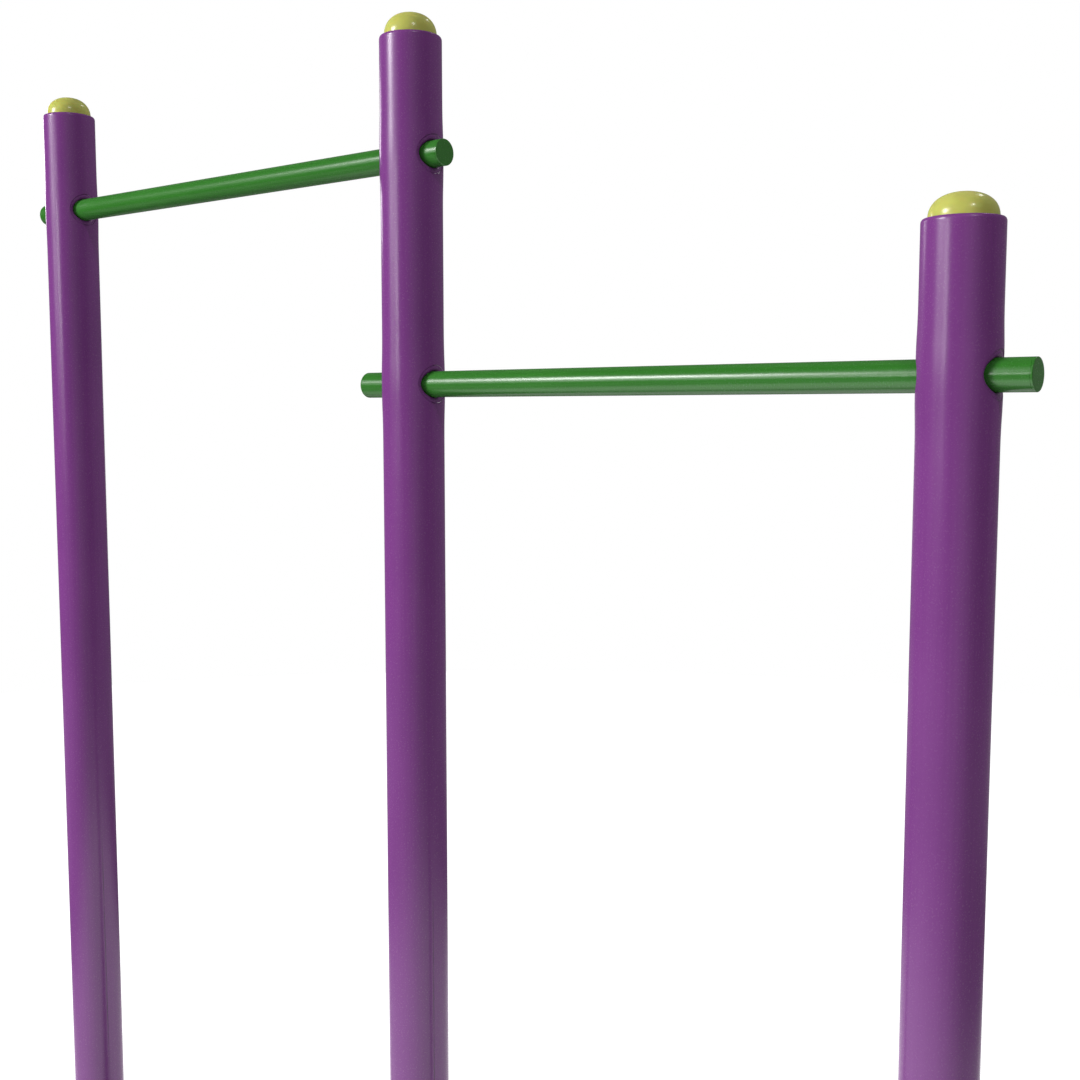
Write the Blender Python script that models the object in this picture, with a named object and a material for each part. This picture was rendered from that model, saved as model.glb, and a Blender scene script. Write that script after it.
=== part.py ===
"""Outdoor pull-up bar: three round posts in a row carry two bars at different heights.

Units are metres and +Z is up. The row of posts runs along X. The origin is on the
ground, in the middle of the outline of the three base plates.
"""
import math

import bmesh
import bpy

# Clearance kept between pieces that touch on the real object
GAP = 0.0003

# Layout of the row, post axis to post axis
HIGH_SPAN = 0.979
LOW_SPAN = 0.930

# Heights: the low bar above the ground, the high bar above it, and the post tops above the bars
LOW_BAR_HEIGHT = 2.030
BAR_STEP = 0.368
POST_ABOVE_BAR = 0.190
LEFT_POST_ABOVE_BAR = 0.193

# Posts, round steel tube
POST_RADIUS = 0.0508
POST_WALL = 0.004
RIM_ROUNDING_WIDTH = 0.0036
RIM_ROUNDING_DEPTH = 0.0055

# Bars, round steel tube, and how far each end stands out from its post's axis
BAR_RADIUS = 0.0212
BAR_WALL = 0.0032
HIGH_BAR_OUTER_END = 0.087
HIGH_BAR_INNER_END = 0.074
LOW_BAR_INNER_END = 0.104
LOW_BAR_OUTER_END = 0.097

# Plugs that close the bar ends
PLUG_FLANGE = 0.003
PLUG_EDGE = 0.001
PLUG_SPIGOT = 0.015

# Weld collars that fill the wider holes in the post walls round the bars. The face of a
# collar is given as shares of the way in from its bevelled edge to the bar, and heights there.
COLLAR_RADIUS = 0.0312
COLLAR_FACE = (
    (0, -0.0003),
    (0.13, -0.0013),
    (0.3, -0.0009),
    (0.7, -0.0015),
    (0.88, -0.0028),
    (1, -0.0045),
)
COLLAR_THICKNESS = 0.0035

# Domed caps in the post tops, heights measured from the post rim
DOME_RADIUS = 0.0428
DOME_HEIGHT = 0.0376
SHORT_POST_DOME_HEIGHT = 0.0319
DOME_FULLNESS = 2.3
CAP_SHELL = 0.003
CAP_SHOULDER_DROP = 0.002
CAP_SHOULDER_THICKNESS = 0.004
SPIGOT_CORE_RADIUS = 0.0432
SPIGOT_FINS = 2
FIN_PITCH = 0.012
FIN_THICKNESS = 0.002

# Base plates and the weld around the foot of each post
PLATE_SIZE = 0.240
PLATE_THICKNESS = 0.012
PLATE_CORNER = 0.020
PLATE_CHAMFER = 0.0012
BASE_WELD_LEG = 0.008
BASE_WELD_THROAT = 0.0046
BASE_WELD_TOE = 0.0006

# Foundation anchors, M16, four to a plate
ANCHOR_OFFSET = 0.088
ANCHOR_RADIUS = 0.008
ANCHOR_TIP_RADIUS = 0.0064
ANCHOR_HOLE_RADIUS = 0.009
NUT_FLATS = 0.024
NUT_FLANGE_RADIUS = 0.0165
NUT_FLANGE_THICKNESS = 0.0025
NUT_HEX_TOP = 0.012
NUT_SHOULDER = 0.013
NUT_DOME_RADIUS = 0.0103
NUT_TOP = 0.023
NUT_BORE_DEPTH = 0.015
ANCHOR_END_PLAY = 0.001

# Facets around each kind of round piece
POST_FACETS = 48
CAP_FACETS = 40
BAR_FACETS = 32
COLLAR_FACETS = 36
HOLE_FACETS = 16
NUT_FACETS = 18
ANCHOR_FACETS = 12

SMOOTH_ANGLE = math.radians(35)

# Paint, plastic and steel: 8-bit screen colour, roughness, metallic
FINISHES = {
    "purple_paint": ((133, 69, 144), 0.28, 0.0),
    "green_paint": ((50, 130, 40), 0.28, 0.0),
    "yellow_plastic": ((188, 186, 78), 0.26, 0.0),
    "zinc_steel": ((168, 170, 172), 0.38, 1.0),
}


def linear(channel):
    """Screen colour channel, 0 to 255, as a linear value."""
    value = channel / 255
    return value / 12.92 if value <= 0.04045 else ((value + 0.055) / 1.055) ** 2.4


def make_material(name):
    """Principled material in one of the named finishes."""
    colour, roughness, metallic = FINISHES[name]
    material = bpy.data.materials.new(name)
    material.use_nodes = True
    shader = material.node_tree.nodes["Principled BSDF"]
    shader.inputs["Base Color"].default_value = [linear(c) for c in colour] + [1.0]
    shader.inputs["Roughness"].default_value = roughness
    shader.inputs["Metallic"].default_value = metallic
    return material


def arc(centre, radii, start, end, steps):
    """Points of an elliptical arc; radii are across and up, angles in degrees.

    Rounding brings a point that lies on an axis exactly onto it.
    """
    points = []
    for step in range(steps + 1):
        angle = math.radians(start + (end - start) * step / steps)
        across = centre[0] + radii[0] * math.cos(angle)
        up = centre[1] + radii[1] * math.sin(angle)
        points.append((round(across, 9), round(up, 9)))
    return points


def dome_arc(radius, height, steps):
    """Profile of a dome from its top to its edge, with fuller shoulders than an ellipse."""
    points = []
    for step in range(steps + 1):
        angle = math.pi / 2 * (1 - step / steps)
        across = radius * max(math.cos(angle), 0) ** (2 / DOME_FULLNESS)
        up = height * math.sin(angle) ** (2 / DOME_FULLNESS)
        points.append((round(across, 6), round(up, 6)))
    return points


def lofted_mesh(name, rings):
    """Closed mesh through rings of points; a ring of one point is a pole.

    The last ring joins the first one, unless both are poles.
    """
    bm = bmesh.new()
    levels = [[bm.verts.new(point) for point in ring] for ring in rings]
    pairs = list(zip(levels, levels[1:]))
    if len(levels[0]) > 1 and len(levels[-1]) > 1:
        pairs.append((levels[-1], levels[0]))
    for lower, upper in pairs:
        count = max(len(lower), len(upper))
        for i in range(count):
            j = (i + 1) % count
            corners = [lower[i % len(lower)], lower[j % len(lower)]]
            corners += [upper[j % len(upper)], upper[i % len(upper)]]
            bm.faces.new(list(dict.fromkeys(corners)))
    bmesh.ops.recalc_face_normals(bm, faces=bm.faces)
    mesh = bpy.data.meshes.new(name)
    bm.to_mesh(mesh)
    bm.free()
    mesh.shade_smooth()
    mesh.set_sharp_from_angle(angle=SMOOTH_ANGLE)
    return mesh


def ring_of_points(radius, height, facets):
    """Circle of points about Z, or the pole where the radius is zero."""
    if radius == 0:
        return [(0, 0, height)]
    turns = [2 * math.pi * i / facets for i in range(facets)]
    return [(radius * math.cos(turn), radius * math.sin(turn), height) for turn in turns]


def turned_mesh(name, outline, facets):
    """Piece turned about Z from an outline of (radius, height) points."""
    return lofted_mesh(name, [ring_of_points(radius, height, facets) for radius, height in outline])


def add_piece(name, mesh, material, location, rotation=(0, 0, 0)):
    """Places a mesh as one named piece."""
    mesh.materials.clear()
    mesh.materials.append(material)
    piece = bpy.data.objects.new(name, mesh)
    piece.location = location
    piece.rotation_euler = rotation
    bpy.context.collection.objects.link(piece)
    return piece


def drill(piece, name, radius, length, facets, location, rotation=(0, 0, 0)):
    """Drills a round hole, centred on the location, through a piece."""
    outline = [(0, -length / 2), (radius, -length / 2), (radius, length / 2), (0, length / 2)]
    cutter = bpy.data.objects.new(name, turned_mesh(name, outline, facets))
    cutter.location = location
    cutter.rotation_euler = rotation
    cutter.hide_render = True
    cutter.display_type = "WIRE"
    bpy.context.collection.objects.link(cutter)
    hole = piece.modifiers.new(name, "BOOLEAN")
    hole.operation = "DIFFERENCE"
    hole.solver = "EXACT"
    hole.object = cutter


# A quarter turn about Y lays a piece turned about Z along X
ALONG_X = (0, math.pi / 2, 0)
ALONG_MINUS_X = (0, -math.pi / 2, 0)


def add_post(name, x, top, bar_heights, material):
    """Open tube with a rounded rim, drilled across where bars pass through it."""
    foot = PLATE_THICKNESS + GAP
    bore = POST_RADIUS - POST_WALL
    rim_centre = (POST_RADIUS - RIM_ROUNDING_WIDTH, top - foot - RIM_ROUNDING_DEPTH)
    outline = [(bore, 0), (POST_RADIUS, 0)]
    outline += arc(rim_centre, (RIM_ROUNDING_WIDTH, RIM_ROUNDING_DEPTH), 0, 90, 5)
    outline += [(bore, top - foot)]
    post = add_piece(name, turned_mesh(name, outline, POST_FACETS), material, (x, 0, foot))
    hole_radius = COLLAR_RADIUS + GAP
    for height in bar_heights:
        centre = (x, 0, height)
        drill(post, name + "_hole", hole_radius, 3 * POST_RADIUS, COLLAR_FACETS, centre, ALONG_X)


def cap_outline(dome_height):
    """Dome, shoulder and finned spigot outside, then the hollow inside."""
    core_end = -CAP_SHOULDER_DROP - CAP_SHOULDER_THICKNESS
    fin_radius = POST_RADIUS - POST_WALL - GAP
    outline = dome_arc(DOME_RADIUS, dome_height, 9)
    outline += [(DOME_RADIUS, -CAP_SHOULDER_DROP), (fin_radius, -CAP_SHOULDER_DROP), (fin_radius, core_end)]
    for fin in range(SPIGOT_FINS):
        fin_top = core_end - (fin + 1) * FIN_PITCH + FIN_THICKNESS
        outline += [(SPIGOT_CORE_RADIUS, fin_top + FIN_PITCH - FIN_THICKNESS), (SPIGOT_CORE_RADIUS, fin_top)]
        outline += [(fin_radius, fin_top), (fin_radius, fin_top - FIN_THICKNESS)]
    spigot_end = outline[-1][1]
    inner_radius = DOME_RADIUS - CAP_SHELL
    outline += [(inner_radius, spigot_end)]
    outline += arc((0, 0), (inner_radius, dome_height - CAP_SHELL), 0, 90, 4)
    return outline


def add_cap(name, x, top, dome_height, material):
    """Plastic cap pushed into the top of a post."""
    add_piece(name, turned_mesh(name, cap_outline(dome_height), CAP_FACETS), material, (x, 0, top))


def add_bar(name, start, end, height, material):
    """Tube along X between the flanges of its two end plugs."""
    ends = PLUG_FLANGE + GAP
    length = end - start - 2 * ends
    bore = BAR_RADIUS - BAR_WALL
    outline = [(bore, 0), (BAR_RADIUS, 0), (BAR_RADIUS, length), (bore, length)]
    add_piece(name, turned_mesh(name, outline, BAR_FACETS), material, (start + ends, 0, height), ALONG_X)


def plug_mesh():
    """End plug: a spigot in the tube, a flange of the tube's size with a soft edge."""
    spigot_radius = BAR_RADIUS - BAR_WALL - GAP
    edge_centre = (BAR_RADIUS - PLUG_EDGE, PLUG_FLANGE - PLUG_EDGE)
    outline = [(0, -PLUG_SPIGOT), (spigot_radius, -PLUG_SPIGOT), (spigot_radius, 0), (BAR_RADIUS, 0)]
    outline += arc(edge_centre, (PLUG_EDGE, PLUG_EDGE), 0, 90, 2)
    outline += [(0, PLUG_FLANGE)]
    return turned_mesh("bar_end_plug", outline, BAR_FACETS)


def collar_mesh():
    """Weld that fills a post's hole round a bar, bevelled at its edge and dished down to the bar.

    The bar runs along +X. The outer edge of the face follows the round wall of the post, and
    the rest of the face reaches in and down from that edge to the bar.
    """
    back = [(share, height - COLLAR_THICKNESS) for share, height in (COLLAR_FACE[-1], COLLAR_FACE[0])]
    reach = COLLAR_RADIUS - BAR_RADIUS - GAP
    rings = []
    for share, height in [*COLLAR_FACE, *back]:
        ring = []
        for i in range(COLLAR_FACETS):
            angle = 2 * math.pi * i / COLLAR_FACETS
            wall = math.sqrt(POST_RADIUS ** 2 - (COLLAR_RADIUS * math.cos(angle)) ** 2)
            distance = COLLAR_RADIUS - share * reach
            ring.append((wall + height, distance * math.cos(angle), distance * math.sin(angle)))
        rings.append(ring)
    return lofted_mesh("weld_collar", rings)


def add_plate(name, x, anchors, material):
    """Square base plate with round corners, a chamfered top edge and anchor holes."""
    corner_centre = PLATE_SIZE / 2 - PLATE_CORNER
    edge = PLATE_THICKNESS - PLATE_CHAMFER
    top_corner = PLATE_CORNER - PLATE_CHAMFER
    rings = [[(0, 0, 0)]]
    for radius, height in ((PLATE_CORNER, 0), (PLATE_CORNER, edge), (top_corner, PLATE_THICKNESS)):
        ring = []
        for quarter, (side_x, side_y) in enumerate(((1, 1), (-1, 1), (-1, -1), (1, -1))):
            centre = (side_x * corner_centre, side_y * corner_centre)
            corner = arc(centre, (radius, radius), 90 * quarter, 90 * quarter + 90, 5)
            ring += [(px, py, height) for px, py in corner]
        rings.append(ring)
    rings.append([(0, 0, PLATE_THICKNESS)])
    plate = add_piece(name, lofted_mesh(name, rings), material, (x, 0, 0))
    for number, (ax, ay) in enumerate(anchors, 1):
        centre = (ax, ay, PLATE_THICKNESS / 2)
        drill(plate, f"{name}_hole_{number}", ANCHOR_HOLE_RADIUS, 4 * PLATE_THICKNESS, HOLE_FACETS, centre)


def base_weld_mesh():
    """Weld around the foot of a post, on its plate."""
    inner = POST_RADIUS + GAP
    outer = inner + BASE_WELD_LEG
    outline = [(inner, 0), (outer, 0), (outer, BASE_WELD_TOE), (inner + BASE_WELD_THROAT, BASE_WELD_THROAT)]
    outline += [(inner + BASE_WELD_TOE, BASE_WELD_LEG), (inner, BASE_WELD_LEG)]
    return turned_mesh("base_weld", outline, CAP_FACETS)


def stud_mesh():
    """Length of a foundation anchor from the plate's underside up into its nut."""
    length = PLATE_THICKNESS + NUT_BORE_DEPTH - ANCHOR_END_PLAY
    chamfer_start = length - (ANCHOR_RADIUS - ANCHOR_TIP_RADIUS)
    outline = [(0, 0), (ANCHOR_RADIUS, 0), (ANCHOR_RADIUS, chamfer_start)]
    outline += [(ANCHOR_TIP_RADIUS, length), (0, length)]
    return turned_mesh("anchor_stud", outline, ANCHOR_FACETS)


def hexagon(height):
    """Hexagon of points about Z, at its corners and along its flats."""
    points = []
    for i in range(NUT_FACETS):
        angle = 2 * math.pi * i / NUT_FACETS
        from_flat = (angle + math.pi / 6) % (math.pi / 3) - math.pi / 6
        radius = NUT_FLATS / 2 / math.cos(from_flat)
        points.append((radius * math.cos(angle), radius * math.sin(angle), height))
    return points


def cap_nut_mesh():
    """Cap nut with a flange, a hexagon, a dome and a blind bore."""
    bore = ANCHOR_RADIUS + GAP
    inside = [(0, NUT_BORE_DEPTH), (bore, NUT_BORE_DEPTH), (bore, 0)]
    flange = [(NUT_FLANGE_RADIUS, 0), (NUT_FLANGE_RADIUS, NUT_FLANGE_THICKNESS / 2)]
    dome = arc((0, NUT_SHOULDER), (NUT_DOME_RADIUS, NUT_TOP - NUT_SHOULDER), 0, 90, 3)
    rings = [ring_of_points(radius, height, NUT_FACETS) for radius, height in inside + flange]
    rings += [hexagon(NUT_FLANGE_THICKNESS), hexagon(NUT_HEX_TOP)]
    rings += [ring_of_points(radius, height, NUT_FACETS) for radius, height in dome]
    return lofted_mesh("cap_nut", rings)


def main():
    for item in list(bpy.data.objects):
        bpy.data.objects.remove(item)
    purple, green, yellow, zinc = [make_material(name) for name in FINISHES]

    left_x = -(HIGH_SPAN + LOW_SPAN) / 2
    middle_x = left_x + HIGH_SPAN
    right_x = middle_x + LOW_SPAN
    high_bar = LOW_BAR_HEIGHT + BAR_STEP
    left_top = high_bar + LEFT_POST_ABOVE_BAR
    middle_top = high_bar + POST_ABOVE_BAR
    right_top = LOW_BAR_HEIGHT + POST_ABOVE_BAR

    posts = (
        ("left", left_x, left_top, DOME_HEIGHT, [high_bar]),
        ("middle", middle_x, middle_top, DOME_HEIGHT, [high_bar, LOW_BAR_HEIGHT]),
        ("right", right_x, right_top, SHORT_POST_DOME_HEIGHT, [LOW_BAR_HEIGHT]),
    )
    base_weld = base_weld_mesh()
    stud = stud_mesh()
    nut = cap_nut_mesh()
    plate_top = PLATE_THICKNESS + GAP
    for side, x, top, dome_height, bar_heights in posts:
        add_post(side + "_post", x, top, bar_heights, purple)
        add_cap(side + "_post_cap", x, top, dome_height, yellow)
        anchors = [(x + sx * ANCHOR_OFFSET, sy * ANCHOR_OFFSET) for sx in (-1, 1) for sy in (-1, 1)]
        add_plate(side + "_base_plate", x, anchors, purple)
        add_piece(side + "_base_weld", base_weld, purple, (x, 0, plate_top))
        for number, (ax, ay) in enumerate(anchors, 1):
            add_piece(f"{side}_anchor_stud_{number}", stud, zinc, (ax, ay, GAP))
            add_piece(f"{side}_cap_nut_{number}", nut, zinc, (ax, ay, plate_top))

    high_ends = (left_x - HIGH_BAR_OUTER_END, middle_x + HIGH_BAR_INNER_END)
    low_ends = (middle_x - LOW_BAR_INNER_END, right_x + LOW_BAR_OUTER_END)
    bars = (
        ("high", high_ends, high_bar, (left_x, middle_x)),
        ("low", low_ends, LOW_BAR_HEIGHT, (middle_x, right_x)),
    )
    plug = plug_mesh()
    collar = collar_mesh()
    for level, (start, end), height, post_places in bars:
        add_bar(level + "_bar", start, end, height, green)
        add_piece(level + "_bar_left_plug", plug, green, (start + PLUG_FLANGE, 0, height), ALONG_MINUS_X)
        add_piece(level + "_bar_right_plug", plug, green, (end - PLUG_FLANGE, 0, height), ALONG_X)
        for place, x in zip(("left", "right"), post_places):
            for face, turn in (("left", math.pi), ("right", 0)):
                collar_name = f"{level}_bar_{place}_post_weld_{face}"
                add_piece(collar_name, collar, purple, (x, 0, height), (0, 0, turn))


main()
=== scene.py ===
"""Looks of the outdoor pull-up bar: fine surfaces, materials, camera, lamps and floor.

Metres, +Z up, in the frame of the solids: the row of posts runs along X, and the
object stands on the ground at the origin.
"""

import math

import bmesh
import bpy
from mathutils import Matrix, Vector


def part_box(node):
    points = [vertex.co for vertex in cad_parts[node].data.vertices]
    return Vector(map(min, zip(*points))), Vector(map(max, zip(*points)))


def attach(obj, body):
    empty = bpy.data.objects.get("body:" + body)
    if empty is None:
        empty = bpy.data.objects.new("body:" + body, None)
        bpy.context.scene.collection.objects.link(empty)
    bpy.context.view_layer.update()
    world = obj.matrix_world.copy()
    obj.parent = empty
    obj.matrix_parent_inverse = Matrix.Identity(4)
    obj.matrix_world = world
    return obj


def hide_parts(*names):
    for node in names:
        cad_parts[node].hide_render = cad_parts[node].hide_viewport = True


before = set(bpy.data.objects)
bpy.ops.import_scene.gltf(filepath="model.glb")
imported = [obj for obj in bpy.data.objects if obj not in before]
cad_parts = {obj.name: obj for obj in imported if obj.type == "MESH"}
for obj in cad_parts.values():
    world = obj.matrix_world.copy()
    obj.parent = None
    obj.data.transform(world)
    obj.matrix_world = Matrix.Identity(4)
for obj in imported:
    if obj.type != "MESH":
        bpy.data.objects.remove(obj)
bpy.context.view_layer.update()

SIDES = ("left", "middle", "right")

# Facets around the fine pieces
POST_FACETS = 144
BAR_FACETS = 96
CAP_FACETS = 96
COLLAR_FACETS = 144
NUT_FACETS = 48

# Steps along rounded profiles
RIM_STEPS = 10
DOME_STEPS = 36
DOME_INSIDE_STEPS = 12
PLUG_EDGE_STEPS = 6
PLATE_CHAMFER_STEPS = 4
PLATE_CORNER_STEPS = 12
NUT_DOME_STEPS = 8

# Angles in degrees above which an edge stays sharp
SHARP = 30
PLUG_SHARP = 40
COLLAR_SHARP = 50
FOOT_WELD_SHARP = 60
NUT_SHARP = 35

# Sizes that the boxes of the solids don't give
POST_WALL = 0.004
BAR_WALL = 0.0032
RIM_ROUNDING_WIDTH = 0.0036
RIM_ROUNDING_DEPTH = 0.0055
CLEARANCE = 0.0003
DOME_RADIUS = 0.0428
DOME_FULLNESS = 2.3
SHOULDER_DROP = 0.002
SHOULDER_THICKNESS = 0.004
SPIGOT_CORE_RADIUS = 0.0432
FIN_PITCH = 0.012
FIN_THICKNESS = 0.002
CAP_SHELL = 0.003
PLUG_EDGE = 0.001
PLUG_SPIGOT = 0.015
PLUG_FACE_RINGS = (0.8, 0.4)
COLLAR_THICKNESS = 0.0035
NUT_FLATS = 0.024
NUT_FLANGE_THICKNESS = 0.0025
NUT_FLANGE_EDGE = 0.0004
NUT_HEX_TOP = 0.012
NUT_SHOULDER = 0.013
NUT_DOME_RADIUS = 0.0103
NUT_BORE_RADIUS = 0.0083
NUT_BORE_DEPTH = 0.015
PLATE_CORNER = 0.020
PLATE_CHAMFER = 0.0012
ANCHOR_OFFSET = 0.088
ANCHOR_HOLE_RADIUS = 0.009
ANCHORS_PER_FOOT = 4
WELD_THROAT = 0.0046
WELD_TOE = 0.0006

ALONG_X = Matrix.Rotation(math.pi / 2, 4, "Y")
ALONG_MINUS_X = Matrix.Rotation(-math.pi / 2, 4, "Y")


# Places read from the solids

def centre_and_size(node):
    """Middle and size of a node's box."""
    low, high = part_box(node)
    middle = [(a + b) / 2 for a, b in zip(low, high)]
    size = [b - a for a, b in zip(low, high)]
    return Vector(middle), Vector(size)


POSTS = {}
for side in SIDES:
    middle, size = centre_and_size(side + "_post")
    POSTS[side] = {
        "x": middle.x,
        "radius": size.x / 2,
        "foot": middle.z - size.z / 2,
        "top": middle.z + size.z / 2,
        "bars": [],
    }

BARS = {}
for level, carriers in (("high", ("left", "middle")), ("low", ("middle", "right"))):
    middle, size = centre_and_size(level + "_bar")
    BARS[level] = {
        "start": middle.x - size.x / 2,
        "end": middle.x + size.x / 2,
        "height": middle.z,
        "radius": size.z / 2,
        "posts": carriers,
    }
    for side in carriers:
        POSTS[side]["bars"].append(middle.z)

BAR_RADIUS = BARS["low"]["radius"]
POST_RADIUS = POSTS["left"]["radius"]


# Face of a weld collar, bevelled at its edge and dipping at the bar: shares of the way in to the
# bar, and heights
COLLAR_FACE = (
    (0, -0.0002), (0.03, -0.0004), (0.07, -0.0008), (0.11, -0.0012), (0.145, -0.0014),
    (0.18, -0.00145), (0.23, -0.0013), (0.3, -0.0011), (0.4, -0.001), (0.52, -0.0011),
    (0.64, -0.0014), (0.74, -0.0018), (0.82, -0.0023), (0.88, -0.003), (0.93, -0.0038),
    (0.97, -0.0046), (1, -0.0052),
)
COLLAR_RADIUS = centre_and_size("low_bar_left_post_weld_left")[1].z / 2
COLLAR_UNEVENNESS = 0.00015

# Waves round a collar's face: how many, how high as a share, and how the seed turns each
COLLAR_WAVES = ((5, 0.5, 1.0), (11, 0.3, 2.3), (23, 0.2, 0.7))

# The post walls swell a little round the bars
SWELL = 0.0013
SWELL_REACH = 0.030
SWELL_END = 0.100
SWELL_STEPS = 40

# How near to the post's radius a point counts as on its outer wall, for moving it and for its normals
WALL_POINT_MARGIN = 1e-5
WALL_FACE_MARGIN = 0.001
WALL_FACE_ALIGNMENT = 0.9


# Mesh helpers

def arc(centre, radii, start, end, steps):
    """Points of an elliptical arc; radii are across and up, angles in degrees."""
    points = []
    for step in range(steps + 1):
        angle = math.radians(start + (end - start) * step / steps)
        across = centre[0] + radii[0] * math.cos(angle)
        up = centre[1] + radii[1] * math.sin(angle)
        points.append((round(across, 9), round(up, 9)))
    return points


def dome_arc(radius, height, steps):
    """Profile of a dome from its top to its edge, with fuller shoulders than an ellipse."""
    points = []
    for step in range(steps + 1):
        angle = math.pi / 2 * (1 - step / steps)
        across = radius * max(math.cos(angle), 0) ** (2 / DOME_FULLNESS)
        up = height * math.sin(angle) ** (2 / DOME_FULLNESS)
        points.append((round(across, 6), round(up, 6)))
    return points


def lofted_mesh(name, rings, sharp=SHARP):
    """Closed mesh through rings of points; a ring of one point is a pole."""
    bm = bmesh.new()
    levels = [[bm.verts.new(point) for point in ring] for ring in rings]
    pairs = list(zip(levels, levels[1:]))
    if len(levels[0]) > 1 and len(levels[-1]) > 1:
        pairs.append((levels[-1], levels[0]))
    for lower, upper in pairs:
        count = max(len(lower), len(upper))
        for i in range(count):
            j = (i + 1) % count
            corners = [lower[i % len(lower)], lower[j % len(lower)]]
            corners += [upper[j % len(upper)], upper[i % len(upper)]]
            bm.faces.new(list(dict.fromkeys(corners)))
    bmesh.ops.recalc_face_normals(bm, faces=bm.faces)
    mesh = bpy.data.meshes.new(name)
    bm.to_mesh(mesh)
    bm.free()
    smooth(mesh, sharp)
    return mesh


def smooth(mesh, sharp=SHARP):
    """Smooth shading, split at edges sharper than the angle in degrees."""
    mesh.shade_smooth()
    mesh.set_sharp_from_angle(angle=math.radians(sharp))


def ring_of_points(radius, height, facets):
    """Circle of points about Z, or the pole where the radius is zero."""
    if radius == 0:
        return [(0, 0, height)]
    turns = [2 * math.pi * i / facets for i in range(facets)]
    return [(radius * math.cos(turn), radius * math.sin(turn), height) for turn in turns]


def turned_mesh(name, outline, facets, sharp=SHARP):
    """Piece turned about Z from an outline of (radius, height) points."""
    rings = [ring_of_points(radius, height, facets) for radius, height in outline]
    return lofted_mesh(name, rings, sharp)


def add_piece(name, mesh, material, slot, place, *nodes):
    """Adds a fine piece that stands for its nodes; place is a point or a matrix."""
    piece = bpy.data.objects.new(name, mesh)
    if not mesh.materials:
        mesh.materials.append(material)
    bpy.context.scene.collection.objects.link(piece)
    piece.matrix_world = place if isinstance(place, Matrix) else Matrix.Translation(place)
    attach(piece, "root")
    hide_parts(*nodes)
    return piece


def drilled(mesh, name, cutters):
    """The mesh with round holes; a cutter is (centre, direction matrix, radius, length, facets)."""
    blank = bpy.data.objects.new(name + "_blank", mesh)
    bpy.context.scene.collection.objects.link(blank)
    drills = []
    for centre, turn, radius, length, facets in cutters:
        outline = [(0, -length / 2), (radius, -length / 2), (radius, length / 2), (0, length / 2)]
        drill = bpy.data.objects.new(name + "_drill", turned_mesh(name + "_drill", outline, facets))
        drill.matrix_world = Matrix.Translation(centre) @ turn
        bpy.context.scene.collection.objects.link(drill)
        hole = blank.modifiers.new("hole", "BOOLEAN")
        hole.operation = "DIFFERENCE"
        hole.solver = "EXACT"
        hole.object = drill
        drills.append(drill)
    bpy.context.view_layer.update()
    graph = bpy.context.evaluated_depsgraph_get()
    result = bpy.data.meshes.new_from_object(blank.evaluated_get(graph))
    result.name = name
    for helper in [blank] + drills:
        bpy.data.objects.remove(helper)
    smooth(result)
    return result


# Material helpers

def linear(screen_colour):
    """8-bit screen colour as linear red, green, blue and alpha."""
    values = []
    for channel in screen_colour:
        value = channel / 255
        values.append(value / 12.92 if value <= 0.04045 else ((value + 0.055) / 1.055) ** 2.4)
    return values + [1.0]


class Shader:
    """A material under construction: its node tree and short ways to add nodes to it."""

    def __init__(self, name):
        self.material = bpy.data.materials.new(name)
        self.material.use_nodes = True
        self.tree = self.material.node_tree
        self.surface = self.tree.nodes["Principled BSDF"]
        self.place = self.node("ShaderNodeTexCoord").outputs["Object"]

    def node(self, kind, inputs=None, **settings):
        """Adds a node; an input is a value or the socket that feeds it."""
        made = self.tree.nodes.new(kind)
        for key, value in settings.items():
            setattr(made, key, value)
        for key, value in (inputs or {}).items():
            if isinstance(value, bpy.types.NodeSocket):
                self.tree.links.new(value, made.inputs[key])
            else:
                made.inputs[key].default_value = value
        return made

    def stretch(self, scale):
        """The piece's own coordinates, scaled along each axis."""
        return self.node("ShaderNodeMapping", {"Vector": self.place, "Scale": scale}).outputs["Vector"]

    def noise(self, scale, detail=2.0, vector=None, roughness=0.5):
        """Noise value; scale is features per metre."""
        inputs = {"Vector": vector or self.place, "Scale": scale, "Detail": detail, "Roughness": roughness}
        return self.node("ShaderNodeTexNoise", inputs).outputs["Fac"]

    def remap(self, value, low, high, to_low, to_high, smooth_step=False):
        """Maps a range of values to another one, held at its ends."""
        inputs = {"Value": value, "From Min": low, "From Max": high, "To Min": to_low, "To Max": to_high}
        kind = "SMOOTHSTEP" if smooth_step else "LINEAR"
        return self.node("ShaderNodeMapRange", inputs, interpolation_type=kind).outputs["Result"]

    def math(self, operation, first, second=0.0):
        """One arithmetic step."""
        return self.node("ShaderNodeMath", {0: first, 1: second}, operation=operation).outputs[0]

    def blend(self, share, first, second, kind="MIX"):
        """Colour blend by a share from 0 to 1."""
        mix = self.node("ShaderNodeMix", data_type="RGBA", blend_type=kind)
        for socket, value in ((mix.inputs[0], share), (mix.inputs[6], first), (mix.inputs[7], second)):
            if isinstance(value, bpy.types.NodeSocket):
                self.tree.links.new(value, socket)
            else:
                socket.default_value = value
        return mix.outputs[2]

    def bump(self, height, distance, strength=1.0, under=None):
        """Bump from a height value; distance is the depth of the relief."""
        inputs = {"Height": height, "Distance": distance, "Strength": strength}
        if under:
            inputs["Normal"] = under
        return self.node("ShaderNodeBump", inputs).outputs["Normal"]

    def finish(self, **inputs):
        """Feeds the surface shader; underscores in a key stand for spaces."""
        for key, value in inputs.items():
            socket = self.surface.inputs[key.replace("_", " ")]
            if isinstance(value, bpy.types.NodeSocket):
                self.tree.links.new(value, socket)
            else:
                socket.default_value = value
        return self.material


# Materials

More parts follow.
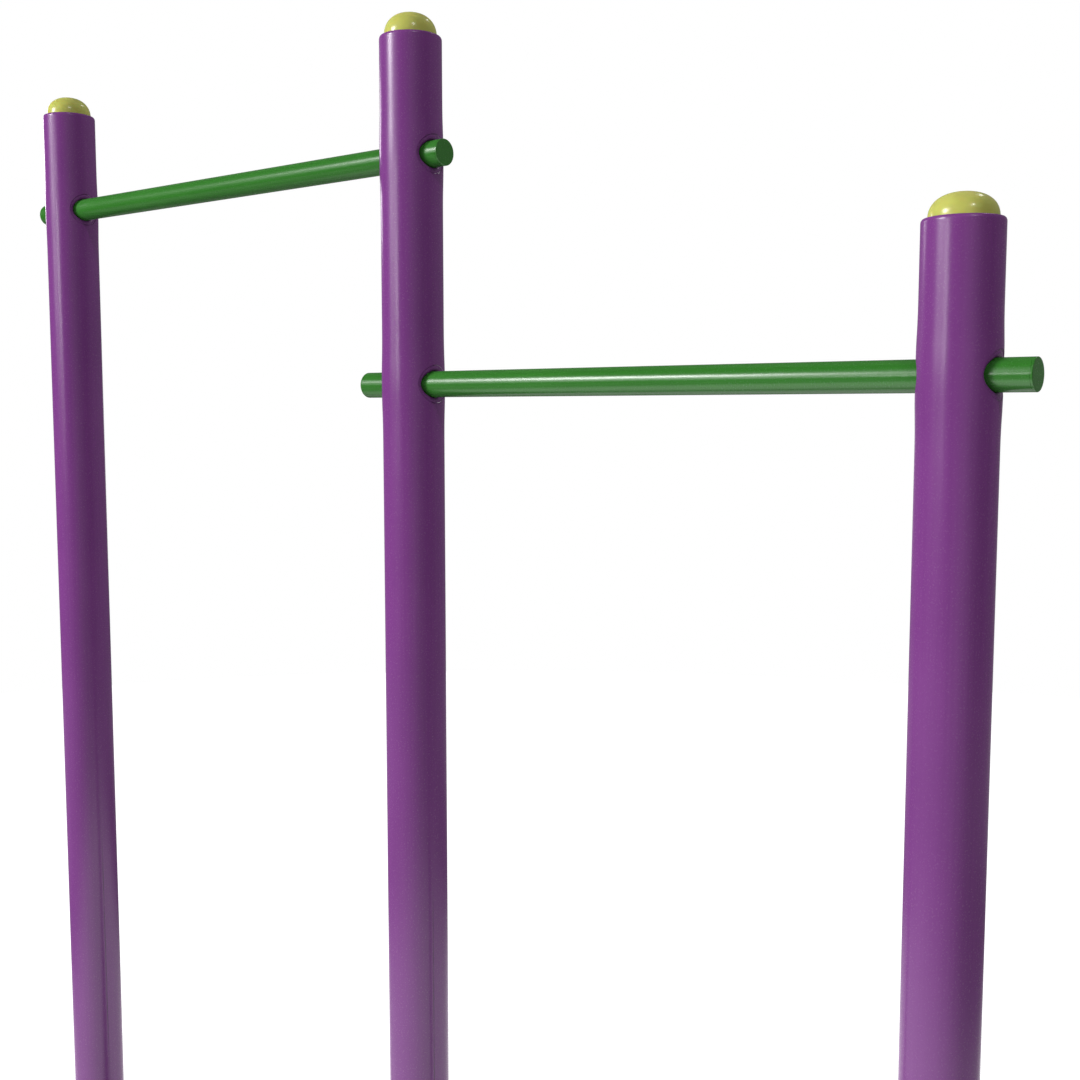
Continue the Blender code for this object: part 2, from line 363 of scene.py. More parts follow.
PURPLE = (141, 72, 152)
PURPLE_SHADE = (125, 61, 137)
GREEN = (60, 133, 48)
GREEN_SHADE = (50, 120, 40)
YELLOW = (218, 219, 112)
YELLOW_SHADE = (204, 205, 102)
ZINC = (176, 178, 180)
ZINC_DARK = (132, 134, 138)

# Paint and plastic reflect 4 % face on, as usual, with a weak rise towards their edges
COAT_IOR = 1.1
COAT_REFLECTION = 0.04
COAT_TINT = [COAT_REFLECTION * ((COAT_IOR + 1) / (COAT_IOR - 1)) ** 2] * 3 + [1.0]

# In every material, a scale or stretch is in features per metre, a depth in metres, and a span is
# the part of the noise's values over which the change happens

# Powder coat: drift and streaks of colour, grain, waves and, on welds, ripples; the grain moves the
# roughness down and up
DRIFT_SCALE = 4.0
DRIFT_SPAN = (0.3, 0.7)
DRIFT_SHARE = 0.5
STREAK_STRETCH = (220, 220, 3)
STREAK_SPAN = (0.4, 0.75)
STREAK_SHARE = 0.3
GRAIN_SCALE = 430.0
GRAIN_SHARPNESS = 0.6
GRAIN_DEPTH = 0.00002
GRAIN_SPAN = (0.35, 0.65)
GRAIN_GLOSS = (0.03, 0.04)
WAVE_SCALE = 120.0
WAVE_DEPTH = 0.00005
RIPPLE_SCALE = 260.0
RIPPLE_DEPTH = 0.0002
POST_ROUGHNESS = 0.24
BAR_ROUGHNESS = 0.24
WELD_ROUGHNESS = 0.26
FOOT_ROUGHNESS = 0.28

# Each tube's seam groove and painted dark reflection line: its azimuth seen from above (0 faces -Y,
# positive turns towards +X), and the heights between which they show
SEAMS_AND_DARK_REFLECTIONS = {"left": (81, 0.55, 1.10), "middle": (74, 0.10, 1.20), "right": (150, 0.30, 1.60)}
LINE_FADE = 0.12
LINE_HALF_WIDTH = 0.0003
LINE_SOFT_HALF_WIDTH = 0.001
LINE_BREAK_STRETCH = (0.5, 0.5, 7)
LINE_BREAK_SPAN = (0.36, 0.5)
LINE_BREAK_SHOWN = 0.4
# Painted reflection: colour and strength of the dark line painted into the paint's colour
PAINTED_REFLECTION_COLOUR = (0.03, 0.01, 0.035, 1)
PAINTED_REFLECTION_DARKENING = 0.8
SEAM_DEPTH = 0.0002
SEAM_BUMP = 0.6

# Cap plastic: clouds of colour, scuffs in the gloss, an uneven surface and a little light inside
CLOUD_SCALE = 38.0
CLOUD_SPAN = (0.35, 0.7)
SCUFF_STRETCH = (60, 260, 90)
SCUFF_SPAN = (0.3, 0.75)
MOULDING_SCALE = 70.0
MOULDING_DEPTH = 0.00005
MOULDING_BUMP = 0.5
PLASTIC_ROUGHNESS = (0.19, 0.26)
PLASTIC_GLOW_SHARE = 0.1
PLASTIC_GLOW_DEPTH = 0.01

# Zinc: a mottled tone and gloss, and fine pits
MOTTLE_SCALE = 260.0
MOTTLE_SHARPNESS = 0.65
MOTTLE_SPAN = (0.35, 0.7)
ZINC_GLOSS_SPAN = (0.3, 0.7)
PIT_SCALE = 700.0
PIT_DEPTH = 0.00006
PIT_BUMP = 0.5
ZINC_ROUGHNESS = (0.28, 0.5)


def paint(name, colour, shade, roughness, seam_and_reflection=None, ripples=False):
    """Powder coat: slow colour drift, fine grain in the gloss and, on a tube, its seam groove with a
    painted dark reflection line.
    """
    s = Shader(name)
    drift = s.remap(s.noise(DRIFT_SCALE), *DRIFT_SPAN, 0.0, DRIFT_SHARE)
    streaks = s.remap(s.noise(1.0, 2.0, s.stretch(STREAK_STRETCH)), *STREAK_SPAN, 0.0, STREAK_SHARE)
    tone = s.blend(drift, linear(colour), linear(shade))
    tone = s.blend(streaks, tone, linear(shade))
    grain = s.noise(GRAIN_SCALE, roughness=GRAIN_SHARPNESS)
    relief = s.bump(grain, GRAIN_DEPTH)
    relief = s.bump(s.noise(WAVE_SCALE, 1.0), WAVE_DEPTH, under=relief)
    gloss = s.remap(grain, *GRAIN_SPAN, roughness - GRAIN_GLOSS[0], roughness + GRAIN_GLOSS[1])
    if ripples:
        relief = s.bump(s.noise(RIPPLE_SCALE), RIPPLE_DEPTH, under=relief)
    if seam_and_reflection is not None:
        tone, relief = seam_and_painted_reflection(s, tone, relief, *seam_and_reflection)
    return s.finish(Base_Color=tone, Roughness=gloss, Normal=relief, IOR=COAT_IOR, Specular_Tint=COAT_TINT)


def seam_and_painted_reflection(s, tone, relief, azimuth, low, high):
    """A tube's lengthwise seam groove with a fine dark line of painted reflection along it, both fading out
    below and above two heights.
    """
    turned = s.node("ShaderNodeMapping", {"Vector": s.place, "Rotation": (0, 0, -math.radians(azimuth))})
    parts = s.node("ShaderNodeSeparateXYZ", {"Vector": turned.outputs["Vector"]})
    off_line = s.math("ABSOLUTE", parts.outputs["X"])
    near = s.remap(off_line, LINE_HALF_WIDTH, LINE_SOFT_HALF_WIDTH, 1.0, 0.0, smooth_step=True)
    facing = s.math("LESS_THAN", parts.outputs["Y"], 0.0)
    line = s.math("MULTIPLY", near, facing)
    height = parts.outputs["Z"]
    shown = s.remap(height, low, low + LINE_FADE, 0.0, 1.0, smooth_step=True)
    shown = s.math("MULTIPLY", shown, s.remap(height, high - LINE_FADE, high, 1.0, 0.0, smooth_step=True))
    broken = s.noise(1.0, 3.0, s.stretch(LINE_BREAK_STRETCH))
    broken = s.remap(broken, *LINE_BREAK_SPAN, LINE_BREAK_SHOWN, 1.0)
    line = s.math("MULTIPLY", line, s.math("MULTIPLY", shown, broken))
    # Painted reflection: the dark line is painted into the paint's colour; the groove itself is in the
    # relief
    tone = s.blend(s.math("MULTIPLY", line, PAINTED_REFLECTION_DARKENING), tone, PAINTED_REFLECTION_COLOUR)
    return tone, s.bump(line, -SEAM_DEPTH, SEAM_BUMP, relief)


def plastic(name):
    """Moulded plastic: faint clouding, fine scuffs in the gloss and a soft uneven surface."""
    s = Shader(name)
    cloud = s.remap(s.noise(CLOUD_SCALE, 3.0), *CLOUD_SPAN, 0.0, 1.0)
    tone = s.blend(cloud, linear(YELLOW), linear(YELLOW_SHADE))
    scuffs = s.noise(1.0, 4.0, s.stretch(SCUFF_STRETCH))
    gloss = s.remap(scuffs, *SCUFF_SPAN, *PLASTIC_ROUGHNESS)
    relief = s.bump(s.noise(MOULDING_SCALE), MOULDING_DEPTH, MOULDING_BUMP)
    return s.finish(Base_Color=tone, Roughness=gloss, Normal=relief, IOR=COAT_IOR, Specular_Tint=COAT_TINT,
                    Subsurface_Weight=PLASTIC_GLOW_SHARE, Subsurface_Scale=PLASTIC_GLOW_DEPTH)


def zinc(name):
    """Zinc-plated steel with a mottled, slightly worn surface."""
    s = Shader(name)
    mottle = s.noise(MOTTLE_SCALE, 4.0, roughness=MOTTLE_SHARPNESS)
    tone = s.blend(s.remap(mottle, *MOTTLE_SPAN, 0.0, 1.0), linear(ZINC), linear(ZINC_DARK))
    gloss = s.remap(mottle, *ZINC_GLOSS_SPAN, *ZINC_ROUGHNESS)
    relief = s.bump(s.noise(PIT_SCALE, 3.0), PIT_DEPTH, PIT_BUMP)
    return s.finish(Base_Color=tone, Roughness=gloss, Normal=relief, Metallic=1.0)


POST_PAINT = {}
for side in SIDES:
    POST_PAINT[side] = paint(side + "_post_paint", PURPLE, PURPLE_SHADE, POST_ROUGHNESS, seam_and_reflection=SEAMS_AND_DARK_REFLECTIONS[side])
FOOT_PAINT = paint("foot_paint", PURPLE, PURPLE_SHADE, FOOT_ROUGHNESS)
WELD_PAINT = paint("weld_paint", PURPLE, PURPLE_SHADE, WELD_ROUGHNESS, ripples=True)
BAR_PAINT = paint("bar_paint", GREEN, GREEN_SHADE, BAR_ROUGHNESS)
CAP_PLASTIC = plastic("cap_plastic")
ANCHOR_ZINC = zinc("anchor_zinc")


# Fine pieces

def swelling(across, rise):
    """How far the wall stands out near a bar, and its slopes, at a place seen along the bar."""
    distance = max(math.hypot(across, rise), COLLAR_RADIUS)
    past = distance - COLLAR_RADIUS
    height = SWELL * math.exp(-((past / SWELL_REACH) ** 2))
    slope = -2 * past / SWELL_REACH ** 2 * height / distance
    return height, slope * across, slope * rise


def swell_walls(mesh, bars):
    """Moves the outer wall out round the bars, whose heights are in the mesh's own frame."""
    for vert in mesh.vertices:
        x, y, z = vert.co
        radius = math.hypot(x, y)
        if radius > POST_RADIUS - WALL_POINT_MARGIN:
            out = 1 + sum(swelling(y, z - bar)[0] for bar in bars) / radius
            vert.co = (x * out, y * out, z)


def even_normals(mesh, bars, top):
    """Gives the outer wall the normals of its true round form, below the rim."""
    normals = [(0, 0, 0)] * len(mesh.loops)
    for face in mesh.polygons:
        out = Vector((face.center.x, face.center.y, 0))
        if out.length < POST_RADIUS - WALL_FACE_MARGIN or face.center.z > top:
            continue
        if out.normalized().dot(face.normal) < WALL_FACE_ALIGNMENT:
            continue
        for loop in face.loop_indices:
            x, y, z = mesh.vertices[mesh.loops[loop].vertex_index].co
            away = Vector((x, y, 0)).normalized()
            aside = Vector((-away.y, away.x, 0))
            slopes = [swelling(y, z - bar)[1:] for bar in bars]
            across = sum(slope[0] for slope in slopes) * away.x
            upward = Vector((0, 0, sum(slope[1] for slope in slopes)))
            normals[loop] = (away - across * aside - upward).normalized()
    mesh.normals_split_custom_set(normals)


def add_post(side):
    """Open tube with a rounded rim, swelled and drilled for its bars."""
    post = POSTS[side]
    length = post["top"] - post["foot"]
    bars = [height - post["foot"] for height in sorted(post["bars"])]
    bore = post["radius"] - POST_WALL
    outline = [(bore, 0), (post["radius"], 0)]
    for bar in bars:
        for step in range(SWELL_STEPS + 1):
            outline.append((post["radius"], bar + SWELL_END * (2 * step / SWELL_STEPS - 1)))
    rim_centre = (post["radius"] - RIM_ROUNDING_WIDTH, length - RIM_ROUNDING_DEPTH)
    outline += arc(rim_centre, (RIM_ROUNDING_WIDTH, RIM_ROUNDING_DEPTH), 0, 90, RIM_STEPS)
    outline += [(bore, length)]
    blank = turned_mesh(side + "_post_blank", outline, POST_FACETS)
    swell_walls(blank, bars)
    hole_radius = COLLAR_RADIUS + CLEARANCE
    through = 3 * post["radius"]
    holes = [(Vector((0, 0, bar)), ALONG_X, hole_radius, through, COLLAR_FACETS) for bar in bars]
    mesh = drilled(blank, side + "_post_tube", holes)
    even_normals(mesh, bars, length - RIM_ROUNDING_DEPTH)
    place = Vector((post["x"], 0, post["foot"]))
    add_piece(side + "_post_tube", mesh, POST_PAINT[side], "purple_paint", place, side + "_post")


def add_cap(side):
    """Dome, shoulder and finned spigot, hollow from below."""
    post = POSTS[side]
    low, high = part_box(side + "_post_cap")
    dome_height = high[2] - post["top"]
    spigot_end = low[2] - post["top"]
    fin_radius = post["radius"] - POST_WALL - CLEARANCE
    core_end = -SHOULDER_DROP - SHOULDER_THICKNESS
    outline = dome_arc(DOME_RADIUS, dome_height, DOME_STEPS)
    outline += [(DOME_RADIUS, -SHOULDER_DROP), (fin_radius, -SHOULDER_DROP), (fin_radius, core_end)]
    fin_top = core_end - FIN_PITCH + FIN_THICKNESS
    while fin_top - FIN_THICKNESS > spigot_end - CLEARANCE:
        gap_top = fin_top + FIN_PITCH - FIN_THICKNESS
        outline += [(SPIGOT_CORE_RADIUS, gap_top), (SPIGOT_CORE_RADIUS, fin_top)]
        outline += [(fin_radius, fin_top), (fin_radius, fin_top - FIN_THICKNESS)]
        fin_top -= FIN_PITCH
    inner_radius = DOME_RADIUS - CAP_SHELL
    outline += [(inner_radius, spigot_end)]
    outline += arc((0, 0), (inner_radius, dome_height - CAP_SHELL), 0, 90, DOME_INSIDE_STEPS)
    mesh = turned_mesh(side + "_cap_dome", outline, CAP_FACETS)
    place = Vector((post["x"], 0, post["top"]))
    add_piece(side + "_cap_dome", mesh, CAP_PLASTIC, "yellow_plastic", place, side + "_post_cap")


def add_bar(level):
    """Tube and the two plugs that close it."""
    bar = BARS[level]
    length = bar["end"] - bar["start"]
    bore = bar["radius"] - BAR_WALL
    outline = [(bore, 0), (bar["radius"], 0), (bar["radius"], length), (bore, length)]
    mesh = turned_mesh(level + "_bar_tube", outline, BAR_FACETS)
    place = Matrix.Translation((bar["start"], 0, bar["height"])) @ ALONG_X
    add_piece(level + "_bar_tube", mesh, BAR_PAINT, "green_paint", place, level + "_bar")
    for end, turn in (("left", ALONG_MINUS_X), ("right", ALONG_X)):
        node = f"{level}_bar_{end}_plug"
        low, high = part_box(node)
        tip, tube_end = (low[0], bar["start"]) if end == "left" else (high[0], bar["end"])
        flange = abs(tip - tube_end) - CLEARANCE
        spigot_radius = bore - CLEARANCE
        edge_centre = (bar["radius"] - PLUG_EDGE, flange - PLUG_EDGE)
        outline = [(0, -PLUG_SPIGOT), (spigot_radius, -PLUG_SPIGOT), (spigot_radius, 0), (bar["radius"], 0)]
        outline += arc(edge_centre, (PLUG_EDGE, PLUG_EDGE), 0, 90, PLUG_EDGE_STEPS)
        outline += [(bar["radius"] * share, flange) for share in PLUG_FACE_RINGS] + [(0, flange)]
        mesh = turned_mesh(node + "_face", outline, BAR_FACETS, PLUG_SHARP)
        x = low[0] + flange if end == "left" else high[0] - flange
        place = Matrix.Translation((x, 0, bar["height"])) @ turn
        add_piece(node + "_face", mesh, BAR_PAINT, "green_paint", place, node)


def collar_mesh(name, seed):
    """Weld that fills a post's hole round a bar: bevelled at its edge, and dipping at the bar."""
    back = [(share, height - COLLAR_THICKNESS) for share, height in (COLLAR_FACE[-1], COLLAR_FACE[0])]
    reach = COLLAR_RADIUS - BAR_RADIUS - CLEARANCE
    rings = []
    for share, height in list(COLLAR_FACE) + back:
        ring = []
        for i in range(COLLAR_FACETS):
            angle = 2 * math.pi * i / COLLAR_FACETS
            uneven = sum(high * math.sin(count * angle + turn * seed) for count, high, turn in COLLAR_WAVES)
            wall = math.sqrt((POST_RADIUS + SWELL) ** 2 - (COLLAR_RADIUS * math.cos(angle)) ** 2)
            along = wall + height + COLLAR_UNEVENNESS * uneven * 4 * share * (1 - share)
            distance = COLLAR_RADIUS - share * reach
            ring.append((along, distance * math.cos(angle), distance * math.sin(angle)))
        rings.append(ring)
    return lofted_mesh(name, rings, COLLAR_SHARP)


def add_collars(level):
    """Four weld beads of one bar."""
    bar = BARS[level]
    for place_name, side in zip(("left", "right"), bar["posts"]):
        for face, turn in (("left", math.pi), ("right", 0.0)):
            node = f"{level}_bar_{place_name}_post_weld_{face}"
            mesh = collar_mesh(node + "_bead", 1.0 + bar["height"] + 3 * turn + POSTS[side]["x"])
            place = Matrix.Translation((POSTS[side]["x"], 0, bar["height"])) @ Matrix.Rotation(turn, 4, "Z")
            add_piece(node + "_bead", mesh, WELD_PAINT, "purple_paint", place, node)


def add_foot(side):
    """Base plate with drilled corners and the weld around the post."""
    post = POSTS[side]
    low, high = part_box(side + "_base_plate")
    thickness = high[2] - low[2]
    corner_centre = (high[0] - low[0]) / 2 - PLATE_CORNER
    rings = [[(0, 0, 0)]]
    edge_centre = (PLATE_CORNER - PLATE_CHAMFER, thickness - PLATE_CHAMFER)
    rounding = arc(edge_centre, (PLATE_CHAMFER, PLATE_CHAMFER), 0, 90, PLATE_CHAMFER_STEPS)
    for radius, height in [(PLATE_CORNER, 0)] + rounding:
        ring = []
        for quarter, (side_x, side_y) in enumerate(((1, 1), (-1, 1), (-1, -1), (1, -1))):
            centre = (side_x * corner_centre, side_y * corner_centre)
            corner = arc(centre, (radius, radius), 90 * quarter, 90 * quarter + 90, PLATE_CORNER_STEPS)
            ring += [(px, py, height) for px, py in corner]
        rings.append(ring)
    rings.append([(0, 0, thickness)])
    blank = lofted_mesh(side + "_plate_blank", rings)
    upright = Matrix.Identity(4)
    spots = [(x, y) for x in (-ANCHOR_OFFSET, ANCHOR_OFFSET) for y in (-ANCHOR_OFFSET, ANCHOR_OFFSET)]
    anchors = [Vector((x, y, thickness / 2)) for x, y in spots]
    holes = [(centre, upright, ANCHOR_HOLE_RADIUS, 4 * thickness, NUT_FACETS) for centre in anchors]
    mesh = drilled(blank, side + "_plate", holes)
    place = Vector((post["x"], 0, low[2]))
    add_piece(side + "_plate", mesh, FOOT_PAINT, "purple_paint", place, side + "_base_plate")

    weld_low, weld_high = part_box(side + "_base_weld")
    leg = weld_high[2] - weld_low[2]
    inner = POST_RADIUS + CLEARANCE
    throat = (inner + WELD_THROAT, WELD_THROAT)
    outline = [(inner, 0), (inner + leg, 0), (inner + leg, WELD_TOE), throat]
    outline += [(inner + WELD_TOE, leg), (inner, leg)]
    weld = turned_mesh(side + "_foot_weld", outline, POST_FACETS, FOOT_WELD_SHARP)
    place = Vector((post["x"], 0, weld_low[2]))
    add_piece(side + "_foot_weld", weld, WELD_PAINT, "purple_paint", place, side + "_base_weld")


def hexagon(height):
    """Hexagon of points about Z, at its corners and along its flats."""
    points = []
    for i in range(NUT_FACETS):
        angle = 2 * math.pi * i / NUT_FACETS
        from_flat = (angle + math.pi / 6) % (math.pi / 3) - math.pi / 6
        radius = NUT_FLATS / 2 / math.cos(from_flat)
        points.append((radius * math.cos(angle), radius * math.sin(angle), height))
    return points


def add_nuts():
    """Flanged cap nuts over the foundation anchors."""
    _, size = centre_and_size("left_cap_nut_1")
    flange_radius = size.x / 2
    inside = [(0, NUT_BORE_DEPTH), (NUT_BORE_RADIUS, NUT_BORE_DEPTH), (NUT_BORE_RADIUS, 0)]
    flange = [(flange_radius - NUT_FLANGE_EDGE, 0), (flange_radius, NUT_FLANGE_EDGE)]
    flange += [(flange_radius, NUT_FLANGE_THICKNESS / 2)]
    dome = arc((0, NUT_SHOULDER), (NUT_DOME_RADIUS, size.z - NUT_SHOULDER), 0, 90, NUT_DOME_STEPS)
    rings = [ring_of_points(radius, height, NUT_FACETS) for radius, height in inside + flange]
    rings += [hexagon(NUT_FLANGE_THICKNESS), hexagon(NUT_HEX_TOP)]
    rings += [ring_of_points(radius, height, NUT_FACETS) for radius, height in dome]
    mesh = lofted_mesh("cap_nut_dome", rings, NUT_SHARP)
    for side in SIDES:
        for number in range(1, ANCHORS_PER_FOOT + 1):
            node = f"{side}_cap_nut_{number}"
            middle, size = centre_and_size(node)
            place = Vector((middle.x, middle.y, middle.z - size.z / 2))
            add_piece(f"{node}_dome", mesh, ANCHOR_ZINC, "zinc_steel", place, node)


for side in SIDES:
    add_post(side)
    add_cap(side)
    add_foot(side)
for level in BARS:
    add_bar(level)
    add_collars(level)
add_nuts()

# The anchor studs keep their solids, inside the plates and nuts
for name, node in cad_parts.items():
    if "_anchor_stud_" in name:
        node.data.materials.clear()
        node.data.materials.append(ANCHOR_ZINC)


# Camera, fitted to the edges of the posts and bars in the photograph
CAMERA_PLACE = (1.6082, -1.6369, 1.9872)
CAMERA_YAW = 38.774
CAMERA_PITCH = -5.433
CAMERA_LENS = 45.363
CAMERA_SENSOR = 36
CAMERA_REACH = 100

lens = bpy.data.cameras.new("camera")
lens.lens = CAMERA_LENS
lens.sensor_width = CAMERA_SENSOR
lens.clip_end = CAMERA_REACH
camera = bpy.data.objects.new("camera", lens)
camera.location = CAMERA_PLACE
camera.rotation_euler = (math.radians(90 + CAMERA_PITCH), 0, math.radians(CAMERA_YAW))
bpy.context.scene.collection.objects.link(camera)
bpy.context.scene.camera = camera


# Lamps: name, azimuth and elevation seen from the bars (0 faces -Y, positive turns towards +X),
# how many degrees they span across and up, radiance, and distance in metres
AIM = Vector((0, 0, 2.1))
FAR = 14.0
NEAR = 3.6
LAMPS = (
    ("key_core", -37, 22, 12, 12, 38.0, FAR),
    ("key_halo", -37, 22, 26, 14, 4.8, FAR),
    ("key_skirt", -30, 17, 58, 24, 0.5, FAR),
    ("key_low_right", -17, 6, 12, 7, 9.0, FAR),
    ("key_low_left", -36, 8, 20, 10, 3.2, FAR),
    ("key_top", -18, 38, 30, 20, 0.6, FAR),
    ("edge_high", -105, 14.5, 13, 10, 7.5, NEAR),
    ("fill_right", 62, 40, 60, 24, 0.1, FAR),
    ("spot_right", 60, 42, 4.5, 4.5, 52.0, FAR),
    ("spot_back", 173, 47, 5, 5, 26.0, FAR),
    ("overhead", 0, 84, 50, 50, 1.1, FAR),
)


def add_lamp(name, azimuth, elevation, across, up, radiance, distance):
    """Rectangular lamp facing the bars from a direction given in degrees."""
    width = 2 * distance * math.tan(math.radians(across / 2))
    height = 2 * distance * math.tan(math.radians(up / 2))
    turn, rise = math.radians(azimuth), math.radians(elevation)
    way = Vector((math.sin(turn) * math.cos(rise), -math.cos(turn) * math.cos(rise), math.sin(rise)))
    light = bpy.data.lights.new(name, "AREA")
    light.shape = "RECTANGLE"
    light.size = width
    light.size_y = height
    light.energy = radiance * math.pi * width * height
    lamp = bpy.data.objects.new(name, light)
    lamp.location = AIM + distance * way
    lamp.rotation_euler = way.to_track_quat("Z", "Y").to_euler()
    bpy.context.scene.collection.objects.link(lamp)


for lamp in LAMPS:
    add_lamp(*lamp)


# White surroundings for the camera and for reflections, dim ones for soft light
AMBIENT = 0.12
WHITE = (1, 1, 1, 1)


def add_world():
    """White where the camera or a reflection looks past everything, dim for diffuse light."""
    world = bpy.data.worlds.new("surroundings")
    world.use_nodes = True
    tree = world.node_tree
    white = tree.nodes["Background"]
    white.inputs["Color"].default_value = WHITE
    white.inputs["Strength"].default_value = 1.0
    dim = tree.nodes.new("ShaderNodeBackground")
    dim.inputs["Color"].default_value = WHITE
    dim.inputs["Strength"].default_value = AMBIENT
    path = tree.nodes.new("ShaderNodeLightPath")
    seen = tree.nodes.new("ShaderNodeMath")
    seen.operation = "MAXIMUM"
    tree.links.new(path.outputs["Is Camera Ray"], seen.inputs[0])
    also = tree.nodes.new("ShaderNodeMath")
    also.operation = "MAXIMUM"
    tree.links.new(path.outputs["Is Glossy Ray"], also.inputs[0])
    tree.links.new(path.outputs["Is Transmission Ray"], also.inputs[1])
    tree.links.new(also.outputs[0], seen.inputs[1])
    mix = tree.nodes.new("ShaderNodeMixShader")
    tree.links.new(seen.outputs[0], mix.inputs[0])
    tree.links.new(dim.outputs[0], mix.inputs[1])
    tree.links.new(white.outputs[0], mix.inputs[2])
    tree.links.new(mix.outputs[0], tree.nodes["World Output"].inputs["Surface"])
    bpy.context.scene.world = world


# Pale round floor. The camera sees it glow to white, and less along the row of feet, so that the
# shadow shows. Reflections meet a soft round pool of light on it, dimmer along the row, and a dim
# glow far out.
FLOOR_RADIUS = 8.0
FLOOR_THICKNESS = 0.02
FLOOR_FACETS = 128
FLOOR_PALE = (0.42, 0.42, 0.42, 1)
FLOOR_SHADE = (0.39, 0.39, 0.39, 1)
FLOOR_ROUGHNESS = 0.9
FLOOR_SHINE = 0.1
SPECKLE_SCALE = 220.0
SPECKLE_SPAN = (0.3, 0.7)
ROW_HALF = 0.95
FEET_REACH = (0.35, 1.0)
FEET_GLOW = 0.65
POOL_CENTRE = (0.42, -0.22, 0)
POOL_RADII = (2.1, 3.8)
POOL_GLOW = 2.15
POOL_SURROUND = 0.2
POOL_SHADE_REACH = (0.15, 0.5)
POOL_SHADE_SHARE = 0.5
FAR_REACH = (3.6, 6.0)
FAR_GLOW = 0.35

# Studio shell that only light and reflections meet: its glow by azimuth, and its open window,
# behind the object, to the white background
SHELL_RADIUS = 16.0
SHELL_FOOT = -0.05
SHELL_STEP = 5
SHELL_JOIN = 0.001
SHELL_GLOW = (
    (-160, 0.26), (-115, 0.27), (-95, 0.16), (-80, 0.05), (-60, 0.02), (8, 0.03),
    (22, 0.16), (32, 0.30), (45, 0.40), (60, 0.34), (75, 0.20), (88, 0.12),
    (112, 0.13), (125, 0.28), (140, 0.32), (160, 0.36), (180, 0.42),
)
WINDOW_HEADING = 90 + CAMERA_YAW
WINDOW_HALF_WIDTH = 5
WINDOW_TOP = 10


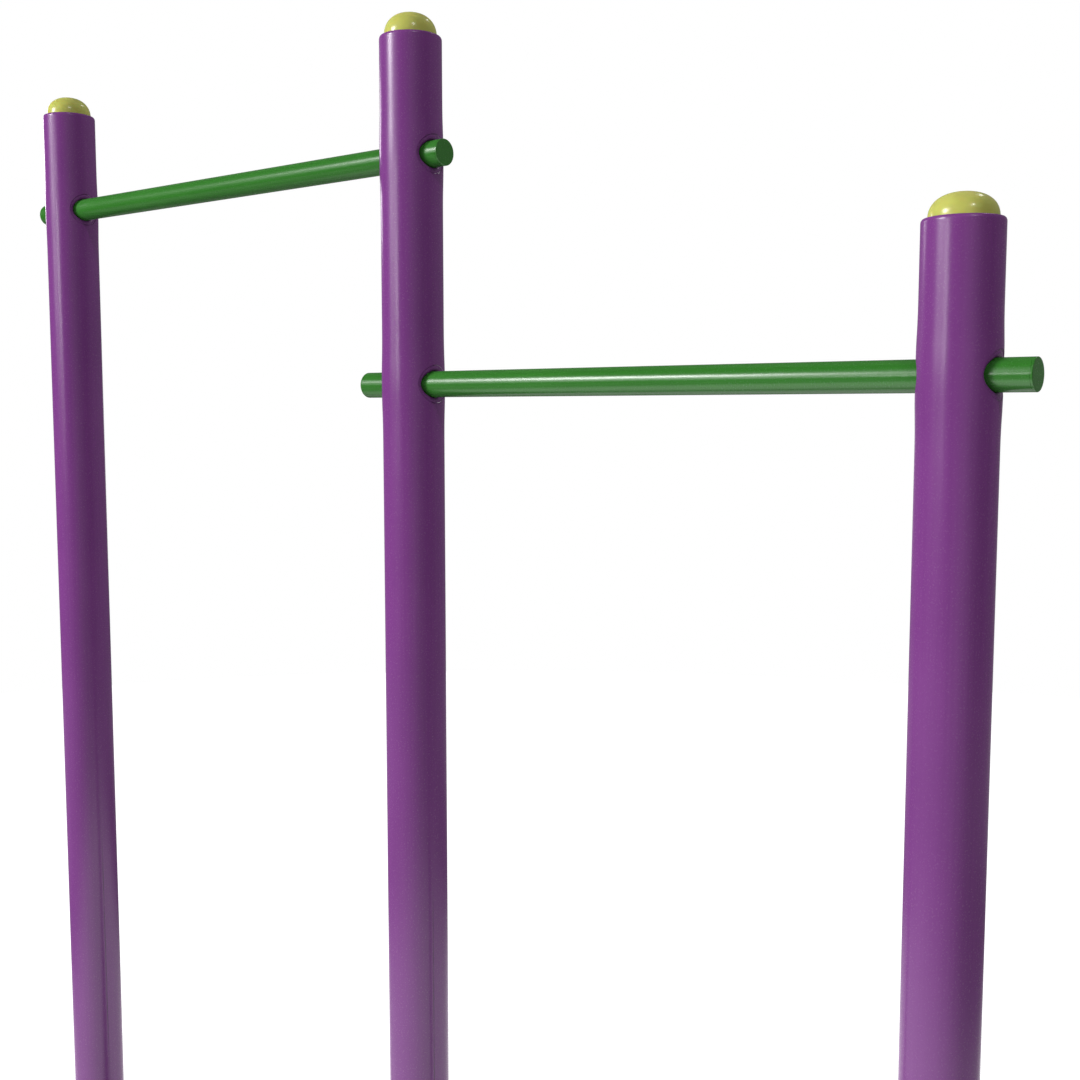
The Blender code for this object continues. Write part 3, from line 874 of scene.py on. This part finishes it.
def add_floor():
    """Pale floor under the object, lifted to white where the camera or a reflection sees it."""
    outline = [(0, -FLOOR_THICKNESS), (FLOOR_RADIUS, -FLOOR_THICKNESS), (FLOOR_RADIUS, 0), (0, 0)]
    mesh = turned_mesh("floor", outline, FLOOR_FACETS)
    s = Shader("floor_surface")
    speckle = s.remap(s.noise(SPECKLE_SCALE, 3.0), *SPECKLE_SPAN, 0.0, 1.0)
    pale = s.blend(speckle, FLOOR_PALE, FLOOR_SHADE)
    s.finish(Base_Color=pale, Roughness=FLOOR_ROUGHNESS, Specular_IOR_Level=FLOOR_SHINE)

    apart = s.node("ShaderNodeSeparateXYZ", {"Vector": s.place}).outputs
    past_end = s.math("SUBTRACT", s.math("ABSOLUTE", apart["X"]), ROW_HALF)
    off_row = s.math("MAXIMUM", s.math("ABSOLUTE", apart["Y"]), past_end)
    seen = s.remap(off_row, *FEET_REACH, FEET_GLOW, 1.0, smooth_step=True)
    off_pool = s.node("ShaderNodeVectorMath", {0: s.place, 1: POOL_CENTRE}, operation="DISTANCE")
    off_pool = off_pool.outputs["Value"]
    pool = s.remap(off_pool, *POOL_RADII, POOL_GLOW, POOL_SURROUND, smooth_step=True)
    shade = s.remap(off_row, *POOL_SHADE_REACH, POOL_SHADE_SHARE, 1.0, smooth_step=True)
    far = s.remap(off_pool, *FAR_REACH, 0.0, FAR_GLOW, smooth_step=True)
    mirrored = s.math("ADD", s.math("MULTIPLY", pool, shade), far)
    path = s.node("ShaderNodeLightPath").outputs
    seen = s.math("MULTIPLY", seen, path["Is Camera Ray"])
    for_camera = s.node("ShaderNodeEmission", {"Color": WHITE, "Strength": seen})
    lit = s.node("ShaderNodeAddShader", {0: s.surface.outputs[0], 1: for_camera.outputs[0]})
    for_reflections = s.node("ShaderNodeEmission", {"Color": WHITE, "Strength": mirrored})
    indirect = s.math("MAXIMUM", path["Is Glossy Ray"], path["Is Transmission Ray"])
    both = s.node("ShaderNodeMixShader", {0: indirect, 1: lit.outputs[0], 2: for_reflections.outputs[0]})
    s.tree.links.new(both.outputs[0], s.tree.nodes["Material Output"].inputs["Surface"])
    mesh.materials.append(s.material)
    floor = bpy.data.objects.new("floor", mesh)
    bpy.context.scene.collection.objects.link(floor)


def add_shell():
    """Dark round shell that reflections meet, open to the white background behind the object."""
    profile = [(0, SHELL_FOOT)]
    profile += arc((0, SHELL_FOOT), (SHELL_RADIUS, SHELL_RADIUS), 0, 90, 90 // SHELL_STEP)
    bm = bmesh.new()
    for turn in range(0, 360, SHELL_STEP):
        off_middle = (turn + SHELL_STEP / 2 - WINDOW_HEADING + 180) % 360 - 180
        for step in range(1, len(profile)):
            behind = abs(off_middle) < WINDOW_HALF_WIDTH and 1 < step <= 1 + WINDOW_TOP // SHELL_STEP
            if behind:
                continue
            lower, upper = profile[step - 1], profile[step]
            corners = []
            for (radius, height), at in ((lower, turn), (lower, turn + SHELL_STEP),
                                         (upper, turn + SHELL_STEP), (upper, turn)):
                angle = math.radians(at)
                corners.append(bm.verts.new((radius * math.cos(angle), radius * math.sin(angle), height)))
            bm.faces.new(corners)
    bmesh.ops.remove_doubles(bm, verts=bm.verts, dist=SHELL_JOIN)
    mesh = bpy.data.meshes.new("shell")
    bm.to_mesh(mesh)
    bm.free()
    s = Shader("shell_surface")
    turn = s.node("ShaderNodeTexGradient", {"Vector": s.place}, gradient_type="RADIAL").outputs["Fac"]
    ramp = s.node("ShaderNodeValToRGB", {"Fac": turn})
    stops = sorted(((azimuth + 90) % 360 / 360, glow) for azimuth, glow in SHELL_GLOW)
    while len(ramp.color_ramp.elements) < len(stops):
        ramp.color_ramp.elements.new(0.5)
    for element, (position, glow) in zip(ramp.color_ramp.elements, stops):
        element.position = position
        element.color = (glow, glow, glow, 1)
    glow = s.node("ShaderNodeEmission", {"Color": ramp.outputs["Color"], "Strength": 1.0})
    s.tree.links.new(glow.outputs[0], s.tree.nodes["Material Output"].inputs["Surface"])
    mesh.materials.append(s.material)
    shell = bpy.data.objects.new("shell", mesh)
    shell.visible_camera = False
    bpy.context.scene.collection.objects.link(shell)


add_world()
add_floor()
add_shell()

bpy.context.scene.view_settings.view_transform = "Standard"
